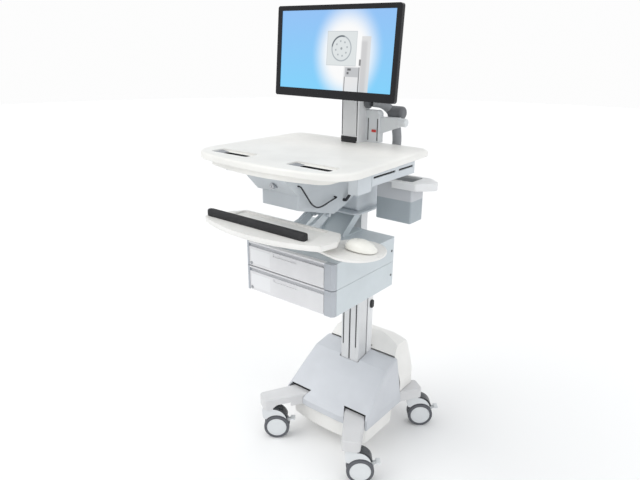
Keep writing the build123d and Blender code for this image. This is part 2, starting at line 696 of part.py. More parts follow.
with BuildPart() as mast_track:
    for low, high in ((-32.9, -29.1), (29.1, 32.9)):
        add(box_between((low, 14.5, 1214), (high, 18, mast_top - 1)))
    add(box_between((-33, 7, 1197), (33, mast_front, 1210)))
keep(mast_track.part, "mast_track")

with BuildPart() as scanner_bracket:
    add(box_between((mast_half, 58, worktop_z), (bracket_right, 86, 1300)))
    fillet(scanner_bracket.edges().filter_by(Axis.Y).group_by(Axis.Z)[-1].sort_by(Axis.X)[-1], radius=14)
    for x in (46, 84):
        add(box_between((x - 2, 57, 1196), (x + 2, 63, 1273)), mode=Mode.SUBTRACT)
keep(scanner_bracket.part, "scanner_bracket")

with BuildPart() as side_arm:
    with BuildSketch(Plane.XZ.offset(-84)):
        with BuildLine():
            Polyline((bracket_right, 1221), (bracket_right, 1279), (162, 1281), (162, 1249), close=True)
        make_face()
    extrude(amount=18)
    with BuildSketch(Plane.YZ.offset(162)):
        with Locations((75, 1266)):
            Circle(14)
    extrude(amount=28)
    fillet(side_arm.faces().sort_by(Axis.X)[-1].edges(), radius=4)
keep(side_arm.part, "side_arm")


# ---------------------------------------------------------------- cables
def cord_path(points):
    """Straight runs joined by tangent arcs, each as large as its two runs allow."""
    corners = [Vector(*p) for p in points]
    radii = []
    for before, corner, after in zip(corners, corners[1:], corners[2:]):
        turn = radians((corner - before).get_angle(after - corner))
        shorter = min((corner - before).length, (after - corner).length)
        radii.append(0.45 * shorter / tan(turn / 2))
    print("arc radii", [round(r) for r in radii])
    with BuildLine() as path:
        FilletPolyline(*corners, radius=radii)
    return path.wires()[0]


sleeve_route = [(68, 97, 1118), (98, 97, 1118), (120, 106, 1132), (130, 114, 1165), (131, 116, 1203),
                (126, 116, 1238), (118, 114, 1272), (102, 108, 1302), (80, 93, 1322), (54, 72, 1326)]
front_lead_route = [(82, -362, 1114), (93, -362, 1114), (97, -344, 1087), (95, -312, 1048), (93, -283, 1031),
                    (92, -252, 1030), (92, -214, 1039), (89, -174, 1043), (77, -174, 1043)]
side_lead_route = [(77, -122, 1022), (88, -122, 1022), (91, -108, 1037), (91, -70, 1074), (91, -37, 1103),
                   (91, -22, 1128), (91, -22, 1152)]


sleeve_radius, knuckle_radius = 16.0, 23.0


def cord(points, radius):
    """Plain tube along a route."""
    path = cord_path(points)
    with BuildPart() as tube:
        with BuildSketch(Plane(origin=path @ 0, z_dir=path % 0)):
            Circle(radius)
        sweep(path=path)
    print("volume over section times length", round(tube.part.volume / (3.14159 * radius ** 2 * path.length), 3))
    return tube.part


with BuildPart() as cables:
    add(cord(sleeve_route, sleeve_radius))
    add(cord(front_lead_route, 2.5))
    add(cord(side_lead_route, 5))
keep(cables.part, "cables")

with BuildPart() as sleeve_clamps:
    with BuildSketch(Plane.YZ.offset(collar_half)):
        with Locations((97, 1118)):
            Circle(21)
            Circle(sleeve_radius + 0.3, mode=Mode.SUBTRACT)
    extrude(amount=10)
    with BuildSketch(Plane.YZ.offset(mast_half)):
        with Locations((62, 1326)):
            Circle(21)
    extrude(amount=12)
    with BuildSketch(Plane.YZ.offset(102)):
        with Locations((114, 1292)):
            Circle(knuckle_radius)
    extrude(amount=54)
    fillet(sleeve_clamps.faces().sort_by(Axis.X)[-1].edges(), radius=10)
    add(cord(sleeve_route, sleeve_radius), mode=Mode.SUBTRACT)
keep(sleeve_clamps.part, "sleeve_clamps")


# ---------------------------------------------------------------- display
display_tilt = 4.5         # leans back at rest
tilt_axis_y = -28.0
pan_axis_y = -16.0
tilt = radians(display_tilt)
display_plane = Plane(origin=(0, tilt_axis_y, plate_pivot_z), x_dir=(1, 0, 0), z_dir=(0, -cos(tilt), sin(tilt)))
centre_up = display_centre_z - plate_pivot_z
hub_depth, plate_depth, shell_depth, bezel_depth, front_depth = 10, 16, 20, 52, 60

with BuildPart() as monitor_slider:
    add(box_between((-34, -8, 1395), (34, mast_front - 0.3, 1528)))
    fillet(monitor_slider.edges().filter_by(Axis.Y), radius=4)
    for low, high in ((-32.4, -29.6), (29.6, 32.4)):
        add(box_between((low, mast_front - 1, 1400), (high, 14, 1520)))
    for low in (1470, 1520.5):
        add(box_between((-11, -24, low), (11, -7, low + 9.5)))
    with Locations((0, pan_axis_y, 1475)):
        Cylinder(4, 50, align=(Align.CENTER, Align.CENTER, Align.MIN))
keep(monitor_slider.part, "monitor_slider")

with BuildPart() as tilt_bracket:
    with Locations((0, pan_axis_y, 1480)):
        Cylinder(7.2, 40, align=(Align.CENTER, Align.CENTER, Align.MIN))
    add(box_between((-7, -33, 1490), (7, pan_axis_y, 1510)))
    with Locations((0, pan_axis_y, 1470)):
        Cylinder(4 + run_gap, 60, align=(Align.CENTER, Align.CENTER, Align.MIN), mode=Mode.SUBTRACT)
    with BuildSketch(Plane.YZ.offset(-10)):
        with Locations((tilt_axis_y, plate_pivot_z)):
            Circle(3 + run_gap)
    extrude(amount=20, mode=Mode.SUBTRACT)
keep(tilt_bracket.part, "tilt_bracket")

with BuildPart() as pivot_hub:
    with BuildSketch(display_plane.offset(hub_depth)):
        Circle(39)
    extrude(amount=plate_depth - hub_depth)
    with BuildSketch(display_plane.offset(plate_depth)):
        Circle(20)
    extrude(amount=shell_depth - plate_depth - 0.5)
    with BuildSketch(display_plane.offset(-5)):
        with Locations((-10, 0), (10, 0)):
            Rectangle(5, 14)
    extrude(amount=hub_depth + 5)
    with BuildSketch(Plane.YZ.offset(-12.5)):
        with Locations((tilt_axis_y, plate_pivot_z)):
            Circle(3)
    extrude(amount=25)
keep(pivot_hub.part, "pivot_hub")

with BuildPart() as vesa_plate:
    with BuildSketch(display_plane.offset(plate_depth + joint_gap / 2)):
        RectangleRounded(120, 110, 4)
        Circle(20 + run_gap, mode=Mode.SUBTRACT)
    extrude(amount=shell_depth - plate_depth - joint_gap / 2)
keep(vesa_plate.part, "vesa_plate")

with BuildPart() as monitor_back:
    with BuildSketch(display_plane.offset(shell_depth)):
        with Locations((0, centre_up)):
            RectangleRounded(280, 190, 20)
    with BuildSketch(display_plane.offset(shell_depth + 22)):
        with Locations((0, centre_up)):
            RectangleRounded(380, 240, 24)
    loft()
    with BuildSketch(display_plane.offset(shell_depth + 22)):
        with Locations((0, centre_up)):
            RectangleRounded(display_width, display_height, 8)
    extrude(amount=bezel_depth - shell_depth - 22)
    fillet(monitor_back.edges().filter_by(lambda e: e.length > 230 and abs(e.center().X) > 240
                                          or e.length > 400).group_by(Axis.Y)[-1], radius=4)
keep(monitor_back.part, "monitor_back")

with BuildPart() as monitor_bezel:
    with BuildSketch(display_plane.offset(bezel_depth)):
        with Locations((0, centre_up)):
            RectangleRounded(display_width, display_height, 8)
        with Locations((0, centre_up + 6)):
            Rectangle(452, 247, mode=Mode.SUBTRACT)
    extrude(amount=front_depth - bezel_depth)
keep(monitor_bezel.part, "monitor_bezel")

with BuildPart() as monitor_screen:
    with BuildSketch(display_plane.offset(bezel_depth)):
        with Locations((0, centre_up + 6)):
            Rectangle(451.8, 246.8)
    extrude(amount=5)
keep(monitor_screen.part, "monitor_screen")
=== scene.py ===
"""Looks of the medication cart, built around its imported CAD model.

The CAD nodes keep their shapes and get procedural materials. The casters, the palm rest, the mouse and the
small details are finer pieces made here. Lengths are millimetres, turned into metres by mm().
"""
import math

import bmesh
import bpy
from mathutils import Matrix, Vector


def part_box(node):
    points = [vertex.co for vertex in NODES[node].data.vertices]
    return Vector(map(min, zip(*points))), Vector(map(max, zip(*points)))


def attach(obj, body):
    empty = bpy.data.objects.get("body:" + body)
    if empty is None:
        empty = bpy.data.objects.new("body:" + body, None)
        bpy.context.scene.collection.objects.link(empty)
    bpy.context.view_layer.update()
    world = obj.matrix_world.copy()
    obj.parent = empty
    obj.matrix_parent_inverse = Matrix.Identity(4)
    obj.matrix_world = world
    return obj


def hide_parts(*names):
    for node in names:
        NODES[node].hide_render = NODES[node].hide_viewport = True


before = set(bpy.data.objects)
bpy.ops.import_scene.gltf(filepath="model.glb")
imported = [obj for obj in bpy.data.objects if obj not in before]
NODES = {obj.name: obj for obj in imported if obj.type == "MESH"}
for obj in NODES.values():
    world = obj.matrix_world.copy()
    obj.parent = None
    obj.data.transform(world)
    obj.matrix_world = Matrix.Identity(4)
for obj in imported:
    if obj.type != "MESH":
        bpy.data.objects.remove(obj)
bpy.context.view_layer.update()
CORNERS = ("fl", "fr", "rl", "rr")
DISPLAY_TILT = math.radians(4.5)


def mm(*values):
    """Millimetres to metres: one number, or a vector."""
    if len(values) == 1:
        return values[0] / 1000
    return Vector(values) / 1000


def box_mm(node):
    """Lowest and highest corner of a CAD node, in millimetres."""
    low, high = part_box(node)
    return low * 1000, high * 1000


# ---------------------------------------------------------------- materials
def rgb(red, green, blue):
    """Linear colour from display values of 0 to 255."""
    linear = []
    for value in (red, green, blue):
        share = value / 255
        linear.append(share / 12.92 if share <= 0.04045 else ((share + 0.055) / 1.055) ** 2.4)
    return (*linear, 1.0)


class Graph:
    """A material's node tree, with short ways to add nodes."""

    def __init__(self, name):
        self.material = bpy.data.materials.new(name)
        self.material.use_nodes = True
        self.tree = self.material.node_tree
        self.shader = self.tree.nodes["Principled BSDF"]
        self.place = self.node("ShaderNodeTexCoord").outputs["Object"]

    @classmethod
    def of(cls, material):
        """The same helpers around a material that is already made."""
        graph = cls.__new__(cls)
        graph.material = material
        graph.tree = material.node_tree
        graph.shader = graph.tree.nodes["Principled BSDF"]
        graph.place = graph.node("ShaderNodeTexCoord").outputs["Object"]
        return graph

    def node(self, kind, **settings):
        made = self.tree.nodes.new(kind)
        for key, value in settings.items():
            setattr(made, key, value)
        return made

    def link(self, source, target):
        self.tree.links.new(source, target)

    def value(self, operation, first, second=0.0):
        made = self.node("ShaderNodeMath", operation=operation)
        for socket, given in zip(made.inputs, (first, second)):
            if isinstance(given, (int, float)):
                socket.default_value = given
            else:
                self.link(given, socket)
        return made.outputs[0]

    def noise(self, scale, detail=2.0, stretch=None):
        texture = self.node("ShaderNodeTexNoise")
        texture.inputs["Scale"].default_value = scale
        texture.inputs["Detail"].default_value = detail
        place = self.place
        if stretch:
            mapping = self.node("ShaderNodeMapping")
            mapping.inputs["Scale"].default_value = stretch
            self.link(place, mapping.inputs["Vector"])
            place = mapping.outputs[0]
        self.link(place, texture.inputs["Vector"])
        return texture.outputs["Fac"]

    def spread(self, source, low, high):
        """Maps a noise's usual 0.3 to 0.7 onto low to high."""
        made = self.node("ShaderNodeMapRange")
        for socket, given in zip(("From Min", "From Max", "To Min", "To Max"), (0.3, 0.7, low, high)):
            made.inputs[socket].default_value = given
        self.link(source, made.inputs["Value"])
        return made.outputs[0]

    def mix(self, share, first, second):
        made = self.node("ShaderNodeMix", data_type="RGBA")
        sockets = (made.inputs["Factor"], made.inputs[6], made.inputs[7])
        for socket, given in zip(sockets, (share, first, second)):
            if isinstance(given, (int, float, tuple)):
                socket.default_value = given
            else:
                self.link(given, socket)
        return made.outputs[2]

    def step(self, source, edge, soft):
        """0 below the edge and 1 above it, softly."""
        made = self.node("ShaderNodeMapRange", interpolation_type="SMOOTHSTEP")
        made.inputs["From Min"].default_value = edge - soft
        made.inputs["From Max"].default_value = edge + soft
        self.link(source, made.inputs["Value"])
        return made.outputs[0]

    def band(self, source, low, high, soft):
        return self.value("SUBTRACT", self.step(source, low, soft), self.step(source, high, soft))


def moulded(name, colour, rough=0.42, grain=0.35, grain_scale=900, edge=1.2, coat=0.0, metal=0.0,
            specular=0.5, shade=0.05, stretch=None):
    """Moulded or painted surface: slight colour drift, scuffed roughness, fine grain and softened edges."""
    g = Graph(name)
    drift = g.spread(g.noise(9, 3), 0.0, 1.0)
    dark = tuple(c * (1 - shade) for c in colour[:3]) + (1.0,)
    light = tuple(min(1.0, c * (1 + shade * 0.5)) for c in colour[:3]) + (1.0,)
    g.link(g.mix(drift, dark, light), g.shader.inputs["Base Color"])
    scuffs = g.noise(55, 5, stretch)
    g.link(g.spread(scuffs, rough - 0.06, rough + 0.06), g.shader.inputs["Roughness"])
    bump = g.node("ShaderNodeBump")
    bump.inputs["Strength"].default_value = grain
    bump.inputs["Distance"].default_value = 0.0002
    g.link(g.noise(grain_scale, 2, stretch), bump.inputs["Height"])
    if edge:
        bevel = g.node("ShaderNodeBevel", samples=4)
        bevel.inputs["Radius"].default_value = mm(edge)
        g.link(bevel.outputs[0], bump.inputs["Normal"])
    g.link(bump.outputs[0], g.shader.inputs["Normal"])
    g.shader.inputs["Metallic"].default_value = metal
    g.shader.inputs["Specular IOR Level"].default_value = specular
    g.shader.inputs["Coat Weight"].default_value = coat
    g.shader.inputs["Coat Roughness"].default_value = 0.12
    return g.material


# Drawer front, in millimetres: heights above its lower edge, and places across the cart.
PULL_SHADE_LOW, PULL_SHADE_HIGH = 71, 83.5
LABEL_LOW, LABEL_HIGH = 12, 62
LABEL_LEFT, LABEL_RIGHT = -166, -78
POST_LEFT, POST_RIGHT = -174.5, 155.5


def drawer_front_material():
    """Drawer front: darker corner posts, painted shade along the set-back finger pull, and a lighter panel
    with a blank label.
    """
    material = moulded("front_grey", rgb(226, 226, 228), 0.45, edge=1.0)
    g = Graph.of(material)
    place = g.node("ShaderNodeSeparateXYZ")
    g.link(g.place, place.inputs[0])
    across, up = place.outputs["X"], place.outputs["Z"]
    colour = g.shader.inputs["Base Color"].links[0].from_socket
    for node in ("upper_drawer_front", "lower_drawer_front"):
        level = box_mm(node)[0].z
        # The finger pull is set back, so a darker band is painted there as shade.
        pull_shade = g.band(up, mm(level + PULL_SHADE_LOW), mm(level + PULL_SHADE_HIGH), mm(0.6))
        colour = g.mix(g.value("MULTIPLY", pull_shade, 0.75), colour, rgb(196, 198, 202))
        label = g.value("MULTIPLY", g.band(across, mm(LABEL_LEFT), mm(LABEL_RIGHT), mm(0.8)),
                        g.band(up, mm(level + LABEL_LOW), mm(level + LABEL_HIGH), mm(0.8)))
        colour = g.mix(g.value("MULTIPLY", label, 0.8), colour, rgb(236, 237, 239))
    posts = g.value("SUBTRACT", 1.0, g.band(across, mm(POST_LEFT), mm(POST_RIGHT), mm(0.5)))
    colour = g.mix(g.value("MULTIPLY", posts, 0.9), colour, rgb(176, 181, 188))
    g.link(colour, g.shader.inputs["Base Color"])
    return material


RIB_RADIANS_PER_METRE = 1400.0
LEADS_END = 40          # the leads lie in front of this place, the sleeve behind it


def cable_material():
    """Ribbed grey sleeve behind the mast, with painted shade in its grooves; the thin leads under the
    worktop are near black.
    """
    material = moulded("cable_grey", rgb(150, 152, 155), 0.62, grain=1.0, grain_scale=320, stretch=(1, 1, 5),
                       edge=0.0)
    g = Graph.of(material)
    place = g.node("ShaderNodeSeparateXYZ")
    g.link(g.place, place.inputs[0])
    colour = g.shader.inputs["Base Color"].links[0].from_socket
    # The darker bands in the grooves of the sleeve are painted shade.
    wave = g.value("SINE", g.value("MULTIPLY", place.outputs["Z"], RIB_RADIANS_PER_METRE))
    rib_shade = g.step(wave, 0.0, 0.6)
    colour = g.mix(g.value("MULTIPLY", rib_shade, 0.35), colour, rgb(112, 114, 118))
    leads = g.value("SUBTRACT", 1.0, g.step(place.outputs["Y"], mm(LEADS_END), mm(2)))
    g.link(g.mix(leads, colour, rgb(52, 55, 60)), g.shader.inputs["Base Color"])
    return material


BIN_BAND_FOOT = 1022


def bin_material():
    """Storage bin: cool grey body under a paler upper band."""
    material = moulded("bin_grey", rgb(163, 172, 178), 0.45, edge=1.5)
    g = Graph.of(material)
    place = g.node("ShaderNodeSeparateXYZ")
    g.link(g.place, place.inputs[0])
    colour = g.shader.inputs["Base Color"].links[0].from_socket
    upper = g.step(place.outputs["Z"], mm(BIN_BAND_FOOT), mm(1.5))
    colour = g.mix(g.value("MULTIPLY", upper, 0.9), colour, rgb(200, 202, 206))
    g.link(colour, g.shader.inputs["Base Color"])
    return material


# Where the drawing of the mount lies on the screen, in millimetres across and above the floor.
GLOW_X, GLOW_Z = 50, 1489
PLATE_LEFT, PLATE_RIGHT, PLATE_BOTTOM, PLATE_TOP = -28, 89, 1451, 1556
MAST_LEFT, MAST_RIGHT, MAST_TOP_FRONT = 44, 107, 1450
SIDE_LEFT, SIDE_RIGHT, MAST_TOP_SIDE = 107, 141, 1541
SCREEN_FOOT = 1300


def screen_picture():
    """Lit screen: blue gradient, white glow, and a see-through drawing of the mount behind the display, with
    painted shade on the mount's side face and ring.
    """
    g = Graph("screen_picture")
    split = g.node("ShaderNodeSeparateXYZ")
    g.link(g.place, split.inputs[0])
    across, up = split.outputs["X"], split.outputs["Z"]
    low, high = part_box("monitor_screen")
    share = g.node("ShaderNodeMapRange")
    share.inputs["From Min"].default_value = low.z
    share.inputs["From Max"].default_value = high.z
    g.link(up, share.inputs["Value"])
    colour = g.mix(share.outputs[0], rgb(128, 212, 255), rgb(146, 196, 250))

    def distance(x, z, squeeze_x=1.0, squeeze_z=1.0):
        dx = g.value("MULTIPLY", g.value("SUBTRACT", across, mm(x)), squeeze_x)
        dz = g.value("MULTIPLY", g.value("SUBTRACT", up, mm(z)), squeeze_z)
        return g.value("SQRT", g.value("ADD", g.value("MULTIPLY", dx, dx), g.value("MULTIPLY", dz, dz)))

    glow = g.value("SUBTRACT", 1.0, g.step(distance(GLOW_X, GLOW_Z, 1.0, 0.86), mm(105), mm(40)))
    colour = g.mix(glow, colour, rgb(255, 255, 255))

    def paint(mask, strength, tint):
        nonlocal colour
        colour = g.mix(g.value("MULTIPLY", mask, strength), colour, tint)

    def patch(left, right, bottom, top, soft=1.0):
        return g.value("MULTIPLY", g.band(across, mm(left), mm(right), mm(soft)),
                       g.band(up, mm(bottom), mm(top), mm(soft)))

    # The mount's side face is painted a little darker than its front, with a darker band along its inner
    # edge: painted shade.
    paint(patch(SIDE_LEFT, SIDE_RIGHT, SCREEN_FOOT, MAST_TOP_SIDE), 0.9, rgb(222, 222, 222))
    paint(patch(SIDE_LEFT, SIDE_LEFT + 22, SCREEN_FOOT, MAST_TOP_SIDE - 14, 6), 0.6, rgb(196, 196, 198))
    paint(patch(MAST_LEFT, MAST_RIGHT, SCREEN_FOOT, MAST_TOP_FRONT), 0.9, rgb(232, 232, 233))
    paint(patch(MAST_LEFT + 3, MAST_LEFT + 6, SCREEN_FOOT, MAST_TOP_FRONT - 32), 0.8, rgb(70, 70, 74))
    paint(patch(MAST_RIGHT - 6, MAST_RIGHT - 2, SCREEN_FOOT, MAST_TOP_FRONT - 2), 0.8, rgb(70, 70, 74))
    top = MAST_TOP_FRONT
    paint(patch(MAST_LEFT + 5, MAST_RIGHT - 5, top - 32, top - 3), 0.9, rgb(190, 192, 195))
    paint(patch(MAST_LEFT + 14, MAST_LEFT + 28, top - 13, top - 6, 2), 0.8, rgb(40, 40, 44))
    paint(patch(MAST_LEFT + 12, MAST_LEFT + 20, top - 24, top - 17, 2), 0.8, rgb(50, 50, 54))
    paint(patch(MAST_RIGHT - 6, MAST_RIGHT + 1, top + 3, top + 22, 2), 0.8, rgb(50, 50, 54))
    paint(patch(PLATE_LEFT, PLATE_RIGHT, PLATE_BOTTOM, PLATE_TOP, 0.8), 1.0, rgb(196, 202, 206))
    paint(patch(PLATE_LEFT + 1.5, PLATE_RIGHT - 1.5, PLATE_BOTTOM + 1.5, PLATE_TOP - 1.5, 0.8), 1.0,
          rgb(226, 231, 232))
    ring_x, ring_z = (PLATE_LEFT + PLATE_RIGHT) / 2 - 1, (PLATE_BOTTOM + PLATE_TOP) / 2
    from_ring = distance(ring_x, ring_z)
    paint(g.band(from_ring, mm(35.5), mm(39.5), mm(1)), 0.75, rgb(150, 158, 166))
    # The darker arc on the upper left of the ring is painted shade.
    angle = g.value("ARCTAN2", g.value("SUBTRACT", up, mm(ring_z)), g.value("SUBTRACT", across, mm(ring_x)))
    arc = g.band(angle, 1.3, 3.0, 0.1)
    paint(g.value("MULTIPLY", g.band(from_ring, mm(35), mm(40), mm(1)), arc), 0.9, rgb(90, 98, 106))
    holes = g.step(g.value("SINE", g.value("MULTIPLY", angle, 8.0)), 0.55, 0.15)
    paint(g.value("MULTIPLY", g.band(from_ring, mm(20), mm(25), mm(1.5)), holes), 0.7, rgb(140, 148, 156))
    paint(g.value("SUBTRACT", 1.0, g.step(from_ring, mm(4), mm(1.5))), 0.7, rgb(110, 118, 126))
    g.link(colour, g.shader.inputs["Emission Color"])
    g.shader.inputs["Emission Strength"].default_value = 0.93
    g.shader.inputs["Base Color"].default_value = rgb(8, 8, 10)
    g.shader.inputs["Roughness"].default_value = 0.35
    return g.material


white = moulded("white_plastic", rgb(240, 239, 236), 0.42, edge=1.5)
worktop_white = moulded("worktop_white", rgb(242, 241, 237), 0.38, grain=0.5, grain_scale=1400, edge=1.0)
cover_grey = moulded("cover_grey", rgb(205, 208, 213), 0.45, edge=2.5)
head_grey = moulded("head_grey", rgb(208, 214, 219), 0.45, edge=2.0)
frame_paint = moulded("frame_paint", rgb(214, 214, 215), 0.4, grain=0.5, grain_scale=600, edge=1.5)
case_paint = moulded("case_paint", rgb(206, 214, 218), 0.42, grain=0.4, grain_scale=700, edge=1.0)
front_grey = drawer_front_material()
arm_grey = moulded("arm_grey", rgb(212, 218, 222), 0.42, edge=1.2)
anodised = moulded("anodised", rgb(222, 223, 224), 0.36, grain=0.5, grain_scale=260, metal=0.25,
                   stretch=(6, 6, 0.05), edge=0.8)
steel = moulded("steel", rgb(178, 180, 184), 0.28, grain=0.5, grain_scale=500, metal=1.0, edge=0.6)
black_plastic = moulded("black_plastic", rgb(38, 38, 41), 0.5, edge=0.6)
# Near-black stand-in for the shade inside slots, holes and recesses: painted shade.
slot_shade_black = moulded("slot_shade_black", rgb(14, 14, 16), 0.6, edge=0.0)
bin_grey = bin_material()
rim_white = moulded("rim_white", rgb(232, 233, 234), 0.42, edge=2.0)
cable_grey = cable_material()
knuckle_grey = moulded("knuckle_grey", rgb(104, 106, 109), 0.42, edge=1.5)
foam_black = moulded("foam_black", rgb(52, 52, 54), 0.72, grain=1.0, grain_scale=520, edge=0.0,
                     specular=0.3)
mouse_cream = moulded("mouse_cream", rgb(248, 247, 240), 0.3, grain=0.15, edge=0.6, coat=0.2)
tyre_grey = moulded("tyre_grey", rgb(96, 98, 103), 0.6, grain=0.8, grain_scale=380, edge=0.6, specular=0.35)
hub_grey = moulded("hub_grey", rgb(222, 225, 227), 0.4, edge=0.8)
hood_black = moulded("hood_black", rgb(48, 51, 55), 0.3, edge=1.0)
red_plastic = moulded("red_plastic", rgb(206, 62, 54), 0.35, edge=0.5)
bezel_black = moulded("bezel_black", rgb(20, 20, 24), 0.26, grain=0.05, edge=1.0, coat=0.25, specular=0.3)
shell_black = moulded("shell_black", rgb(34, 34, 37), 0.5, grain=0.8, grain_scale=420, edge=1.5)
plate_white = moulded("plate_white", rgb(226, 230, 231), 0.35, edge=0.8)
battery_black = moulded("battery_black", rgb(44, 45, 48), 0.5, edge=1.5)
# Dark grey for the shade inside the column's slots: painted shade.
slot_shade_grey = moulded("slot_shade_grey", rgb(58, 60, 64), 0.5, edge=0.0)
shadow_grey = moulded("shadow_grey", rgb(150, 152, 156), 0.6, edge=0.0)


NODE_MATERIALS = {
    white: ["power_housing", "belly_pan", "keyboard_tray", "mouse_tray"],
    worktop_white: ["worksurface"],
    cover_grey: ["base_cover"],
    head_grey: ["column_collar", "head_housing", "side_rails"],
    frame_paint: ["base_frame"],
    case_paint: ["drawer_cases", "upper_drawer_box", "lower_drawer_box", "drawer_bracket"],
    front_grey: ["upper_drawer_front", "lower_drawer_front"],
    arm_grey: ["keyboard_arm"],
    anodised: ["outer_column", "inner_column", "mast", "monitor_slider"],
    rim_white: ["column_rear_cover", "bin_rim"],
    bin_grey: ["storage_bin"],
    steel: ["lift_cylinder", "lift_rod", "front_lock", "upper_drawer_lock", "lower_drawer_lock"],
    black_plastic: ["column_grommet", "mast_track"],
    knuckle_grey: ["sleeve_clamps"],
    hub_grey: ["scanner_bracket", "side_arm"],
    cable_grey: ["cables"],
    battery_black: ["battery_pack"],
    plate_white: ["tilt_bracket", "pivot_hub", "vesa_plate"],
    shell_black: ["monitor_back"],
    bezel_black: ["monitor_bezel"],
    screen_picture(): ["monitor_screen"],
}
for material, names in NODE_MATERIALS.items():
    for name in names:
        NODES[name].data.materials.clear()
        NODES[name].data.materials.append(material)


# ---------------------------------------------------------------- building helpers
def finish_piece(name, mesh_source, body, material, matrix=None, bevel=0.0, smooth=40):
    """Turns a bmesh into an object with its material, edges and body."""
    if matrix is not None:
        bmesh.ops.transform(mesh_source, matrix=matrix, verts=mesh_source.verts)
    bmesh.ops.recalc_face_normals(mesh_source, faces=mesh_source.faces)
    mesh = bpy.data.meshes.new(name)
    mesh_source.to_mesh(mesh)
    mesh_source.free()
    mesh.shade_smooth()
    mesh.set_sharp_from_angle(angle=math.radians(smooth))
    piece = bpy.data.objects.new(name, mesh)
    bpy.context.scene.collection.objects.link(piece)
    mesh.materials.append(material)
    if bevel:
        rounding = piece.modifiers.new("rounding", "BEVEL")
        rounding.width = mm(bevel)
        rounding.segments = 3
        rounding.limit_method = "ANGLE"
        rounding.angle_limit = math.radians(30)
        rounding.harden_normals = True
    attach(piece, body)
    return piece


def prism(name, outline, low, high, axes, body, material, bevel=0.0, origin=(0, 0, 0)):
    """Outline in the first two axes, extruded from low to high along the third. Millimetres."""
    shape = bmesh.new()
    rings = []
    for level in (low, high):
        rings.append([shape.verts.new(mm(u, v, level)) for u, v in outline])
    shape.faces.new(rings[0])
    shape.faces.new(rings[1])
    count = len(outline)
    for i in range(count):
        j = (i + 1) % count
        shape.faces.new((rings[0][i], rings[0][j], rings[1][j], rings[1][i]))
    matrix = Matrix.Translation(mm(*origin)) @ Matrix([list(row) for row in zip(*axes)]).to_4x4()
    return finish_piece(name, shape, body, material, matrix, bevel)


def slab(name, low, high, body, material, bevel=1.0):
    """Box between two corners, with rounded edges."""
    outline = [(low[0], low[1]), (high[0], low[1]), (high[0], high[1]), (low[0], high[1])]
    return prism(name, outline, low[2], high[2], WORLD_AXES, body, material, bevel)


def rounded_rectangle(left, bottom, right, top, radius, steps=6):
    """Outline of a rectangle with round corners."""
    points = []
    for cx, cy, start in ((right - radius, top - radius, 0), (left + radius, top - radius, 90),
                          (left + radius, bottom + radius, 180), (right - radius, bottom + radius, 270)):
        for i in range(steps + 1):
            angle = math.radians(start + 90 * i / steps)
            points.append((cx + radius * math.cos(angle), cy + radius * math.sin(angle)))
    return points


def circle_outline(x, y, radius, steps=48):
    return [(x + radius * math.cos(2 * math.pi * i / steps), y + radius * math.sin(2 * math.pi * i / steps))
            for i in range(steps)]


def arc_points(cx, cy, radius, start, end, steps=16):
    """Points on an arc, from one angle to another, in degrees."""
    points = []
    for i in range(steps + 1):
        angle = math.radians(start + (end - start) * i / steps)
        points.append((cx + radius * math.cos(angle), cy + radius * math.sin(angle)))
    return points


def arc_through(first, middle, last, steps=16):
    """Points on the arc through three points."""
    a, b, c = Vector(first), Vector(middle), Vector(last)
    d = 2 * (a.x * (b.y - c.y) + b.x * (c.y - a.y) + c.x * (a.y - b.y))
    sums = [p.x ** 2 + p.y ** 2 for p in (a, b, c)]
    cx = (sums[0] * (b.y - c.y) + sums[1] * (c.y - a.y) + sums[2] * (a.y - b.y)) / d
    cy = (sums[0] * (c.x - b.x) + sums[1] * (a.x - c.x) + sums[2] * (b.x - a.x)) / d
    radius = math.hypot(a.x - cx, a.y - cy)
    start, end = (math.degrees(math.atan2(p.y - cy, p.x - cx)) for p in (a, c))
    if end - start > 180:
        end -= 360
    if start - end > 180:
        end += 360
    return arc_points(cx, cy, radius, start, end, steps)


def lathe(name, profile, axes, origin, body, material, steps=72, bevel=0.0):
    """Profile of (radius, height) points turned about the third axis. A radius of 0 closes the end."""
    shape = bmesh.new()
    rings = []
    for radius, height in profile:
        if radius < 0.01:
            rings.append([shape.verts.new(mm(0, 0, height))])
        else:
            circle = circle_outline(0, 0, radius, steps)
            rings.append([shape.verts.new(mm(x, y, height)) for x, y in circle])
    closed = profile[0][0] >= 0.01
    pairs = list(zip(rings, rings[1:])) + ([(rings[-1], rings[0])] if closed else [])
    for first, second in pairs:
        for i in range(steps):
            j = (i + 1) % steps
            corners = [first[i % len(first)], first[j % len(first)], second[j % len(second)],
                       second[i % len(second)]]
            unique = list(dict.fromkeys(corners))
            if len(unique) > 2:
                shape.faces.new(unique)
    matrix = Matrix.Translation(mm(*origin)) @ Matrix([list(row) for row in zip(*axes)]).to_4x4()
    return finish_piece(name, shape, body, material, matrix, bevel, smooth=32)


X_AXIS, Y_AXIS, Z_AXIS = Vector((1, 0, 0)), Vector((0, 1, 0)), Vector((0, 0, 1))
WORLD_AXES = (X_AXIS, Y_AXIS, Z_AXIS)
FRONT_AXES = (X_AXIS, Z_AXIS, -Y_AXIS)     # outlines in X and Z, depth towards the front
SIDE_AXES = (Y_AXIS, Z_AXIS, X_AXIS)       # outlines in Y and Z, depth towards the right
LEFT_AXES = (-Y_AXIS, Z_AXIS, -X_AXIS)     # outlines in -Y and Z, depth towards the left
DISPLAY_UP = Vector((0, math.sin(DISPLAY_TILT), math.cos(DISPLAY_TILT)))
DISPLAY_AXES = (X_AXIS, DISPLAY_UP, X_AXIS.cross(DISPLAY_UP) * -1)
DISPLAY_PIVOT = (0, -28, 1500)


# ---------------------------------------------------------------- casters
TRAIL = Vector((math.cos(math.radians(38)), math.sin(math.radians(38)), 0))
AXLE = TRAIL.cross(Z_AXIS)
CASTER_AXES = (TRAIL, Z_AXIS, AXLE)
WHEEL_OFFSET = 15.5
SHELL_TOP = 87.0


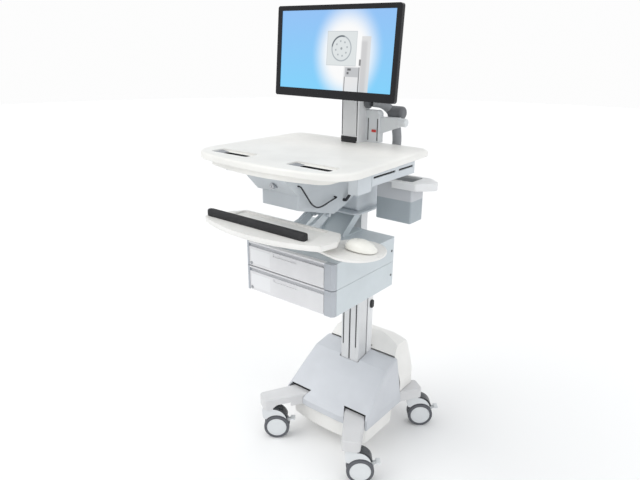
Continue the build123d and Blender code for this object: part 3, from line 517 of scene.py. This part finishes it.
def caster(corner):
    """Twin wheels, shell, hood and brake pedal of one caster, about its wheel centre."""
    low, high = box_mm(f"caster_{corner}_tyres")
    centre = (low + high) / 2
    wheels, swivel, brake = f"caster_{corner}_wheels", f"caster_{corner}_swivel", f"caster_{corner}_brake"

    tread = [(40.0, -9), (46.5, -9), (49.2, -8.2), (50.6, -6), (51, -3), (51, 3), (50.6, 6), (49.2, 8.2),
             (46.5, 9), (44.5, 8.4), (42, 9), (40.0, 9)]
    cap = [(0, 8.0), (26, 8.4), (33, 8.8), (34, 8.3), (35, 8.8), (38.2, 8.6), (39.6, 7.4), (39.9, 5.5),
           (39.9, -7.5), (36, -8.8), (8, -8.8), (0, -8.8)]
    tyres, hubs = [], []
    for side, word in ((-1, "left"), (1, "right")):
        axes = (TRAIL * side, Z_AXIS, AXLE * side)
        middle = centre + AXLE * side * WHEEL_OFFSET
        tyres.append(lathe(f"caster_{corner}_tyre_{word}", tread, axes, middle, wheels, tyre_grey))
        hubs.append(lathe(f"caster_{corner}_hub_{word}", cap, axes, middle, wheels, hub_grey))
    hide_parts(f"caster_{corner}_tyres")
    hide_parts(f"caster_{corner}_hubs")

    under_hood = arc_through((-14, 80), (20, 68), (38, 40))
    over_hood = arc_through((-14, SHELL_TOP), (25, 73.5), (44, 42))
    wheel_arc = arc_points(0, 0, 53.5, 46.5, 140, 24)
    shell_outline = under_hood + wheel_arc + [(-50, 36), (-55, 44), (-57, 58), (-57, SHELL_TOP - 6),
                                              (-52, SHELL_TOP), (-14, SHELL_TOP)]
    shell = prism(f"caster_{corner}_shell", shell_outline, -20, 20, CASTER_AXES, swivel, hub_grey,
                  3.0, centre)
    prism(f"caster_{corner}_hood", over_hood + under_hood[::-1], -20.8, 20.8, CASTER_AXES, swivel,
          hood_black, 1.6, centre)
    core = arc_points(0, 0, 34, -180, 100, 40) + [(0, 58), (-44, 58), (-54, 44)]
    prism(f"caster_{corner}_core", core, -5, 5, CASTER_AXES, swivel, hood_black, 0.8,
          centre)
    lug = [(24, 22), (28, 6), (46, 16), (43, 27)]
    prism(f"caster_{corner}_lug", lug, -2, 2, CASTER_AXES, swivel, hood_black, 0.4,
          centre)
    stem_x = -TRAIL.x * 34
    stem_y = -TRAIL.y * 34
    lathe(f"caster_{corner}_stem", [(0, 0), (17, 0), (17, 6), (10.5, 7), (10.5, 34), (0, 34)], WORLD_AXES,
          centre + Vector((stem_x, stem_y, SHELL_TOP - 4.5)), swivel, steel)
    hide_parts(f"caster_{corner}_housing")

    tab = rounded_rectangle(56, 27.2, 74, 33.8, 3)
    pedal = prism(f"caster_{corner}_pedal_tab", tab, -15, 15, CASTER_AXES, brake, hub_grey,
                  1.8, centre)
    for low_w, high_w, word in ((-5.8, -2.5, "left"), (2.5, 5.8, "right")):
        lever = arc_points(43, 22, 7, 110, 290, 12) + [(50, 17), (60, 27.5), (60, 33), (46, 30)]
        prism(f"caster_{corner}_pedal_lever_{word}", lever, low_w, high_w, CASTER_AXES, brake, hub_grey,
              0.6, centre)
    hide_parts(f"caster_{corner}_pedal")


for corner in CORNERS:
    caster(corner)


# ---------------------------------------------------------------- palm rest and mouse
def palm_pad():
    """Foam bar with rounded ends and a crowned top."""
    low, high = box_mm("palm_rest")
    middle, half = (low + high) / 2, (high - low) / 2
    end_round, stations, ring = 13.0, 90, 32
    shape = bmesh.new()
    rings = []
    for i in range(stations + 1):
        x = -math.cos(math.pi * i / stations) * half.x
        inset = max(0.0, end_round - (half.x - abs(x))) / end_round
        shrink = 1 - 0.42 * (1 - math.sqrt(max(0.0, 1 - inset * inset)))
        points = []
        for k in range(ring):
            angle = 2 * math.pi * k / ring
            c, s = math.cos(angle), math.sin(angle)
            y = math.copysign(abs(c) ** 0.55, c) * (half.y - 0.3) * shrink
            z = math.copysign(abs(s) ** (0.62 if s > 0 else 0.3), s) * half.z
            z = z * (1 - 0.35 * (1 - shrink)) if z > 0 else z
            crown = 1.2 * (1 - (y / half.y) ** 2) if s > 0 else 0.0
            height = min(middle.z + z - 1.2 + crown, high.z)
            points.append(shape.verts.new(mm(middle.x + x, middle.y + y, height)))
        rings.append(points)
    for first, second in zip(rings, rings[1:]):
        for k in range(ring):
            j = (k + 1) % ring
            shape.faces.new((first[k], first[j], second[j], second[k]))
    shape.faces.new(rings[0])
    shape.faces.new(rings[-1])
    pad = finish_piece("palm_pad", shape, "keyboard_tray", foam_black, smooth=60)
    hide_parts("palm_rest")


def mouse_shell():
    """Hand mouse: domed shell with a short straight foot, and a wheel."""
    low, high = box_mm("mouse")
    middle, half = (low + high) / 2, (high - low) / 2
    shape = bmesh.new()
    across, around = 28, 56
    rings = []
    for i in range(1, across + 1):
        reach = math.cos(math.pi / 2 * (across - i) / across)
        ring = []
        for k in range(around):
            angle = 2 * math.pi * k / around
            c, s = math.cos(angle), math.sin(angle)
            r = (abs(c) ** 2.5 + abs(s) ** 2.5) ** (-1 / 2.5)
            x = c * r * half.x * reach
            y = s * r * half.y * reach * (1 - 0.06 * math.cos(angle * 2))
            dome = math.sqrt(max(0.0, 1 - (reach * 0.995) ** 3.2))
            slope = 1 - 0.24 * (x / half.x) - 0.1 * (x / half.x) ** 2
            z = low.z + 1.5 + (high.z - low.z - 3.5) * dome * min(1.0, slope)
            ring.append(shape.verts.new(mm(middle.x + x, middle.y + y, z)))
        rings.append(ring)
    centre = shape.verts.new(mm(middle.x, middle.y, high.z - 2))
    for k in range(around):
        shape.faces.new((centre, rings[0][k], rings[0][(k + 1) % around]))
    for first, second in zip(rings, rings[1:]):
        for k in range(around):
            j = (k + 1) % around
            shape.faces.new((first[k], first[j], second[j], second[k]))
    floor_ring = [shape.verts.new(v.co + mm(0, 0, -1.4)) for v in rings[-1]]
    for k in range(around):
        j = (k + 1) % around
        shape.faces.new((rings[-1][k], rings[-1][j], floor_ring[j], floor_ring[k]))
    shape.faces.new(floor_ring)
    shell = finish_piece("mouse_shell", shape, "mouse_tray", mouse_cream, smooth=50)
    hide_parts("mouse")
    wheel = [(0, -3), (9.5, -3), (10.5, -1.5), (10.5, 1.5), (9.5, 3), (0, 3)]
    lathe("mouse_wheel", wheel, FRONT_AXES, (middle.x + half.x * 0.45, middle.y, low.z + 14.5), "mouse_tray",
          black_plastic, 32)


palm_pad()
mouse_shell()


# ---------------------------------------------------------------- worktop hand-holds, with painted shade in them
HOLD_MIDDLE, HOLD_FRONT, HOLD_REAR = 160.0, -416.0, -360.0
SLOT_SHIFT, SLOT_Y = 16.0, -392.0
SLOT_HALF_LENGTH, SLOT_HALF_WIDTH = 60.8, 18.8
RECESS_FLOOR = 1184.0


def ring_wall(name, outer, inner, low, high, body, material):
    """Tube with a wall between two outlines of the same number of points."""
    shape = bmesh.new()
    loops = []
    for outline, level in ((outer, low), (outer, high), (inner, high), (inner, low)):
        loops.append([shape.verts.new(mm(x, y, level)) for x, y in outline])
    count = len(outer)
    for first, second in zip(loops, loops[1:] + loops[:1]):
        for i in range(count):
            j = (i + 1) % count
            shape.faces.new((first[i], first[j], second[j], second[i]))
    return finish_piece(name, shape, body, material)


for side, word in ((-1, "left"), (1, "right")):
    middle_x = side * HOLD_MIDDLE + SLOT_SHIFT
    outlines = [rounded_rectangle(middle_x - SLOT_HALF_LENGTH + inset, SLOT_Y - SLOT_HALF_WIDTH + inset,
                                  middle_x + SLOT_HALF_LENGTH - inset, SLOT_Y + SLOT_HALF_WIDTH - inset,
                                  8 - inset) for inset in (0.0, 1.2)]
    # Black walls inside the through-slots and grey wedges on the recess ramps are painted shade.
    ring_wall(f"hand_hold_{word}_shade_liner", outlines[0], outlines[1], RECESS_FLOOR - 30, RECESS_FLOOR - 0.2,
              "head", slot_shade_black)
    ramp_left = side * HOLD_MIDDLE - 78
    ramp = [(ramp_left, RECESS_FLOOR), (ramp_left + 32, RECESS_FLOOR), (ramp_left + 32, RECESS_FLOOR + 0.4),
            (ramp_left + 2, RECESS_FLOOR + 3)]
    prism(f"hand_hold_{word}_ramp", ramp, -HOLD_REAR + 6, -HOLD_FRONT - 3, FRONT_AXES, "head", shadow_grey,
          0.3)


# ---------------------------------------------------------------- mast, bracket and display details
slab("mast_foot_stop", (-30, 3, 1190.2), (30, 10.2, 1201), "head", black_plastic, 1.0)
slab("scanner_release_tab", (62, 54.5, 1226), (80, 58, 1235), "head", red_plastic, 1.2)
# The black slabs in the scanner bracket slots are painted shade.
for index, x in enumerate((46, 84)):
    slab(f"scanner_bracket_slot_shade_{index}", (x - 1.8, 58.2, 1196.5), (x + 1.8, 62.5, 1272.5), "head",
         slot_shade_black, 0.3)


def screw(name, place, axes, radius, body, material=steel):
    """Pan-head screw with a round recess, its head standing out along the third axis."""
    profile = [(0, 0.4), (radius * 0.42, 0.4), (radius * 0.5, 1.5), (radius * 0.85, 1.3), (radius, 0.6),
               (radius, -1), (0, -1)]
    lathe(name, profile, axes, place, body, material, 24)


def display_place(x, height, depth):
    """Point of the display in world millimetres, from its pivot."""
    place = Vector(DISPLAY_PIVOT) + DISPLAY_AXES[0] * x + DISPLAY_AXES[1] * height + DISPLAY_AXES[2] * depth
    return tuple(place)


for level, word in ((784.0, "upper"), (693.0, "lower")):
    screw(f"{word}_case_screw", (192.2, 16, level + 42), SIDE_AXES, 4.5, "head", knuckle_grey)
    screw(f"{word}_case_screw_left", (-192.2, 16, level + 42), LEFT_AXES, 4.5, "head", knuckle_grey)

VESA_HALF = 50
VENT_COUNT, VENT_PITCH, VENT_FIRST, VENT_HALF = 27, 8, -104, 1.6
for x, side in ((-VESA_HALF, "left"), (VESA_HALF, "right")):
    for height, level in ((-VESA_HALF, "bottom"), (VESA_HALF, "top")):
        screw(f"vesa_screw_{side}_{level}", display_place(x, height, -16.2), DISPLAY_AXES, 4.5, "monitor")
# The vent openings and the socket recess on the display back are drawn as near-black sheets: painted shade.
for index in range(VENT_COUNT):
    x = VENT_FIRST + index * VENT_PITCH
    vent = rounded_rectangle(x - VENT_HALF, 46, x + VENT_HALF, 70, 1.5, 4)
    prism(f"display_vent_shade_{index:02d}", vent, -20.8, -19.6, DISPLAY_AXES, "monitor", slot_shade_black,
          origin=DISPLAY_PIVOT)
prism("display_socket_recess_shade", rounded_rectangle(-70, -104, 70, -84, 4), -20.8, -19.5, DISPLAY_AXES,
      "monitor", slot_shade_black, 0.4, DISPLAY_PIVOT)


# ---------------------------------------------------------------- painted shade in slots and notches, and small hardware
RAIL_FACE, RAIL_SLOT_LOW, RAIL_SLOT_HIGH = 274.0, 1144.4, 1150.6
# The black slabs in the side-rail slots are painted shade.
for side, word in ((-1, "left"), (1, "right")):
    for index, (start, end) in enumerate(((-243.8, -122.2), (-101.8, -15.2))):
        near, far = sorted((side * (RAIL_FACE - 7.9), side * (RAIL_FACE - 3)))
        slab(f"rail_slot_shade_{word}_{index}", (near, start, RAIL_SLOT_LOW), (far, end, RAIL_SLOT_HIGH), "head",
             slot_shade_black, 0.4)
# The dark strips in the column's slots are painted shade.
for index, (x, half, foot) in enumerate(((0, 3.4, 309), (-30, 2.9, 369), (30, 2.9, 369))):
    slab(f"column_slot_shade_{index}", (x - half, 45.6, foot), (x + half, 47.9, 759), "base", slot_shade_grey,
         0.3)
for side, word in ((-1, "left"), (1, "right")):
    near, far = sorted((side * 60, side * 187))
    slab(f"leg_notch_shade_{word}", (near, -90, 184.6), (far, 0, 196.4), "base", slot_shade_black,
         0.5)
knob = [(0, -12), (5.5, -12), (7.5, -10), (7.5, -4), (4, -2), (4, 0.5), (0, 0.5)]
lathe("tray_tilt_knob", knob, WORLD_AXES, (-94, -445, 960), "keyboard_tray", black_plastic,
      32)


# ---------------------------------------------------------------- floor, light and camera
floor_shape = bmesh.new()
bmesh.ops.create_circle(floor_shape, cap_ends=True, segments=96, radius=14)
floor_mesh = bpy.data.meshes.new("floor")
floor_shape.to_mesh(floor_mesh)
floor_shape.free()
floor = bpy.data.objects.new("floor", floor_mesh)
bpy.context.scene.collection.objects.link(floor)
floor_graph = Graph("studio_floor")
floor_graph.shader.inputs["Base Color"].default_value = (0.95, 0.95, 0.95, 1)
floor_graph.shader.inputs["Roughness"].default_value = 0.9
floor_graph.shader.inputs["Specular IOR Level"].default_value = 0.1
floor_mesh.materials.append(floor_graph.material)

world = bpy.data.worlds.new("studio")
bpy.context.scene.world = world
world.use_nodes = True
sky_tree = world.node_tree
sky = sky_tree.nodes["Background"]
sky.inputs["Color"].default_value = (0.97, 0.985, 1.0, 1)
sky.inputs["Strength"].default_value = 0.66
backdrop = sky_tree.nodes.new("ShaderNodeBackground")
backdrop.inputs["Color"].default_value = (0.98, 0.98, 0.98, 1)
seen = sky_tree.nodes.new("ShaderNodeLightPath")
chosen = sky_tree.nodes.new("ShaderNodeMixShader")
sky_tree.links.new(seen.outputs["Is Camera Ray"], chosen.inputs[0])
sky_tree.links.new(sky.outputs[0], chosen.inputs[1])
sky_tree.links.new(backdrop.outputs[0], chosen.inputs[2])
sky_tree.links.new(chosen.outputs[0], sky_tree.nodes["World Output"].inputs["Surface"])


def soft_sun(name, direction, strength, spread, tint=(1, 1, 1)):
    """Wide, even light that shines along the direction."""
    light = bpy.data.lights.new(name, "SUN")
    light.energy = strength
    light.angle = math.radians(spread)
    light.color = tint
    lamp = bpy.data.objects.new(name, light)
    lamp.rotation_euler = Vector(direction).to_track_quat("-Z", "Y").to_euler()
    bpy.context.scene.collection.objects.link(lamp)


soft_sun("key", (0.5, 0.62, -1.0), 1.15, 50, (1.0, 0.995, 0.98))
soft_sun("fill", (-1.0, 0.35, -0.55), 0.62, 70, (0.97, 0.985, 1.0))
soft_sun("back", (0.1, -1.0, -0.8), 0.4, 70)

CAMERA_PLACE, LENS = (1196.1, -1658.5, 1537.8), 32.86
camera_data = bpy.data.cameras.new("camera")
camera_data.sensor_width = 36
camera_data.lens = LENS
camera_data.clip_end = 60
camera = bpy.data.objects.new("camera", camera_data)
bpy.context.scene.collection.objects.link(camera)
YAW, PITCH, ROLL = math.radians(38.41), math.radians(19.17), math.radians(0.43)
back = Vector((math.sin(YAW) * math.cos(PITCH), -math.cos(YAW) * math.cos(PITCH), math.sin(PITCH)))
right = Vector((math.cos(YAW), math.sin(YAW), 0))
up = back.cross(right)
rolled_right = math.cos(ROLL) * right + math.sin(ROLL) * up
rolled_up = math.cos(ROLL) * up - math.sin(ROLL) * right
turn = Matrix([list(row) for row in zip(rolled_right, rolled_up, back)]).to_4x4()
camera.matrix_world = Matrix.Translation(mm(*CAMERA_PLACE)) @ turn
bpy.context.scene.camera = camera
bpy.context.scene.view_settings.view_transform = "Standard"
